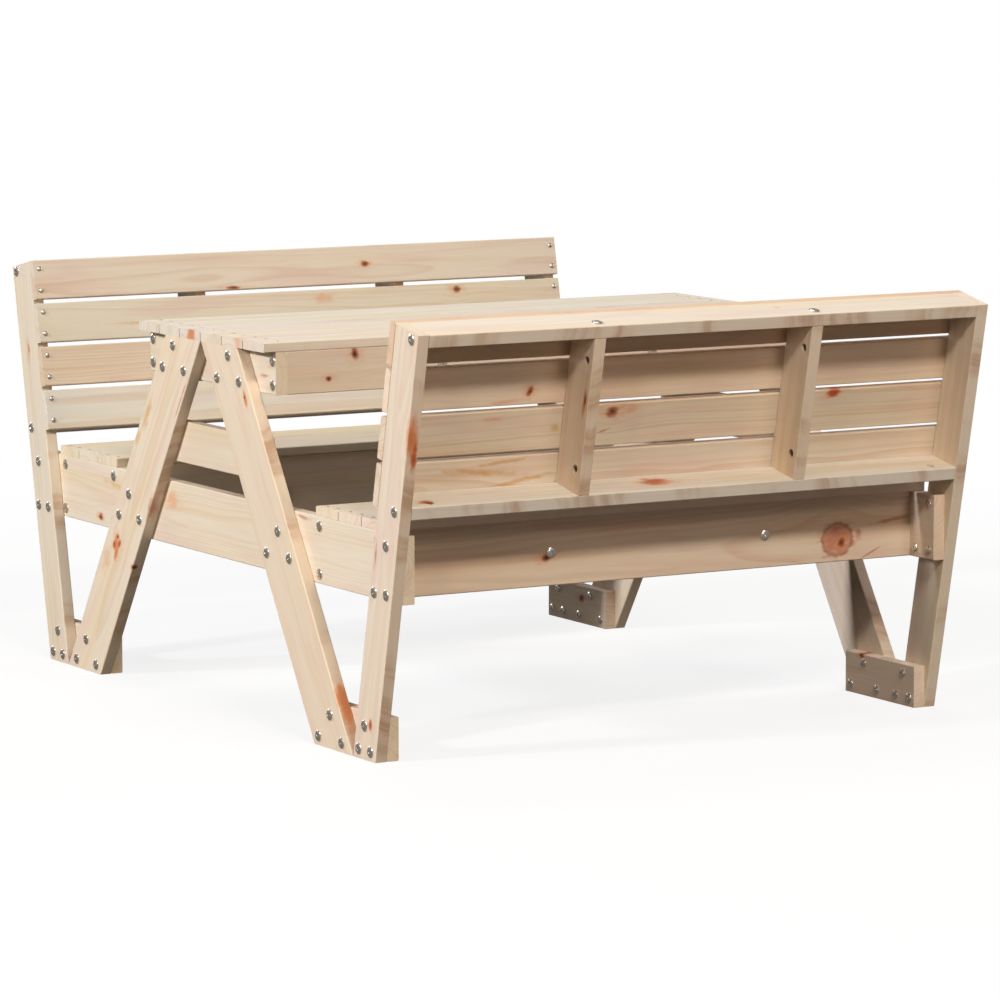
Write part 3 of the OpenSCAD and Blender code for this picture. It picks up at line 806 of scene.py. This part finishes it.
set_in_place("through_bolts", bright_zinc, [socket_bolt("through_bolt", 39.0, 3.0, 8.5)])
set_in_place("cap_nuts", bright_zinc, [socket_bolt("cap_nut", 14.0, 4.0, 7.0, bore=3.2)])
set_in_place("barrel_bolts", bright_zinc, [socket_bolt("barrel_bolt", 65.0, 3.0, 8.5)])
screws = [cross_screw("slat_screw", SLAT_SCREW), cross_screw("back_screw", SLAT_SCREW, raised=1.6, wide=4.4),
          cross_screw("tie_screw", TIE_SCREW)]
set_in_place("wood_screws", worn_zinc, screws, screw_for)

# %% [markdown]
# ## Floor and backdrop
#
# The background is white because of its colour as the camera sees it, and not because of strong light: to every other
# ray the floor is dull, so it sends little light up. Steel sees some of the white, more above than below, which shades
# each bolt head. The floor's glow is weaker near the table, so that the shadows under the legs stay.

# %% A floor that is white to the eye
FLOOR_SIZE = 60.0
FLOOR_DROP = 0.0003  # the floor lies this far below the feet, so that they don't fight for the same surface
FLOOR_MIRRORED, SKY_MIRRORED = 0.11, 0.27
WHITE = (1.0, 1.0, 1.0)


def white_to_the_eye(tree, mirrored):
    """A number that is 1 for what the camera sees directly or through glass, and mirrored in what steel reflects."""
    path = tree.nodes.new("ShaderNodeLightPath")
    total = None
    for output, share in (("Is Camera Ray", 1.0), ("Is Glossy Ray", mirrored), ("Is Transmission Ray", 1.0)):
        scaled = tree.nodes.new("ShaderNodeMath")
        scaled.operation, scaled.use_clamp = "MULTIPLY_ADD", True
        tree.links.new(path.outputs[output], scaled.inputs[0])
        scaled.inputs[1].default_value, scaled.inputs[2].default_value = share, 0.0
        if total:
            tree.links.new(total, scaled.inputs[2])
        total = scaled.outputs[0]
    return total


bpy.ops.mesh.primitive_plane_add(size=FLOOR_SIZE, location=(0, 0, -FLOOR_DROP))
floor = bpy.context.object
floor.name = "floor"
shader = Shader("floor_paint")
to_eye = Socket(shader, white_to_the_eye(shader.tree, FLOOR_MIRRORED))
paint = shader.mix(to_eye, (0.035, 0.033, 0.03), (0.8, 0.8, 0.8))
from_middle = shader.length(shader.coordinates())
glow = to_eye * from_middle.step(0.9, 3.2, 0.84, 1.0)
dull = shader.node("ShaderNodeBsdfDiffuse", None, paint)
bright = shader.node("ShaderNodeEmission", None, WHITE, 1.0)
shader.give(shader.tree.nodes["Material Output"].inputs["Surface"],
            shader.node("ShaderNodeMixShader", None, glow, dull, bright))
floor.data.materials.append(shader.material)
print("floor of", FLOOR_SIZE, "m made")

# %% [markdown]
# ## Light
#
# One lamp stands low on the left and shines straight along the table. A second hangs high in front. Four warm ones fill
# from both sides of the camera, one above and behind picks out the top, and two low ones keep the far sides from going
# dark in other views. Each is a flat panel, because the edge of a panel's shadow is soft.

# %% Lamps and sky
TABLE_MIDDLE = Vector((0, 0, 0.35))
WARM = (1.0, 0.78, 0.62)
# Azimuth and height in degrees, distance and size in metres, strength as the light on the table, and tint
LAMPS = {
    "left_end": (181, 25, 10.0, (0.9, 0.9), 2.7, WHITE),
    "high_front": (260, 40, 10.0, (3.0, 1.0), 1.8, (1.0, 0.94, 0.81)),
    "warm_right": (286, 25, 9.0, (2.0, 1.0), 0.34, WARM),
    "low_right": (280, 8, 9.0, (1.5, 0.8), 0.20, WARM),
    "warm_left": (218, 27, 9.0, (0.8, 0.8), 0.36, WARM),
    "low_left": (200, 8, 9.0, (1.5, 0.8), 0.26, WARM),
    "behind": (60, 68, 7.0, (3.0, 2.0), 0.85, (0.95, 0.98, 1.0)),
    "rear_glow": (102, 15, 8.0, (3.0, 2.0), 0.7, WHITE),
    "right_glow": (352, 15, 8.0, (3.0, 2.0), 0.7, WHITE),
}
SKY_LIGHT = 0.02


def lamp(name, azimuth, height, distance, size, strength, tint):
    """A flat lamp aimed at the table."""
    a, h = math.radians(azimuth), math.radians(height)
    way = Vector((math.cos(a) * math.cos(h), math.sin(a) * math.cos(h), math.sin(h)))
    bpy.ops.object.light_add(type="AREA", location=TABLE_MIDDLE + way * distance)
    made = bpy.context.object
    made.name = name
    made.data.shape = "RECTANGLE"
    made.data.size, made.data.size_y = size
    made.data.energy, made.data.color = strength * math.pi * distance ** 2, tint
    made.rotation_euler = way.to_track_quat("Z", "Y").to_euler()


for name, facts in LAMPS.items():
    lamp(name, *facts)
world = bpy.data.worlds.new("studio")
bpy.context.scene.world = world
world.use_nodes = True
backdrop = world.node_tree.nodes["Background"]
backdrop.inputs["Color"].default_value = (*WHITE, 1.0)
level = world.node_tree.nodes.new("ShaderNodeMath")
level.operation = "MULTIPLY_ADD"
level.inputs[1].default_value, level.inputs[2].default_value = 1.0 - SKY_LIGHT, SKY_LIGHT
world.node_tree.links.new(white_to_the_eye(world.node_tree, SKY_MIRRORED), level.inputs[0])
world.node_tree.links.new(level.outputs[0], backdrop.inputs["Strength"])

# %% [markdown]
# ## Camera
#
# The camera stands as the photographer did, a long way off with a long lens, in front of the left end. Its place and
# turn were fitted to corners of the boards in the photograph, and its focal length is known in pixels of the picture.

# %% The photographer's place
CAMERA_PLACE = (-4.0668, -7.0805, 1.3510)
LOOKS_DOWN, LOOKS_RIGHT = 7.367, 30.096  # in degrees from level and from straight ahead along Y
FOCAL_PIXELS, PICTURE_PIXELS = 5128.6, 1000
SENSOR_MM = 36.0
bpy.ops.object.camera_add(location=CAMERA_PLACE)
camera = bpy.context.object
camera.rotation_euler = (math.radians(90 - LOOKS_DOWN), 0, math.radians(-LOOKS_RIGHT))
camera.data.sensor_width = SENSOR_MM
camera.data.lens = FOCAL_PIXELS / PICTURE_PIXELS * SENSOR_MM
camera.data.clip_start, camera.data.clip_end = 0.1, 200
scene = bpy.context.scene
scene.camera = camera
scene.view_settings.view_transform = "Standard"
print("lens", round(camera.data.lens, 1), "mm")
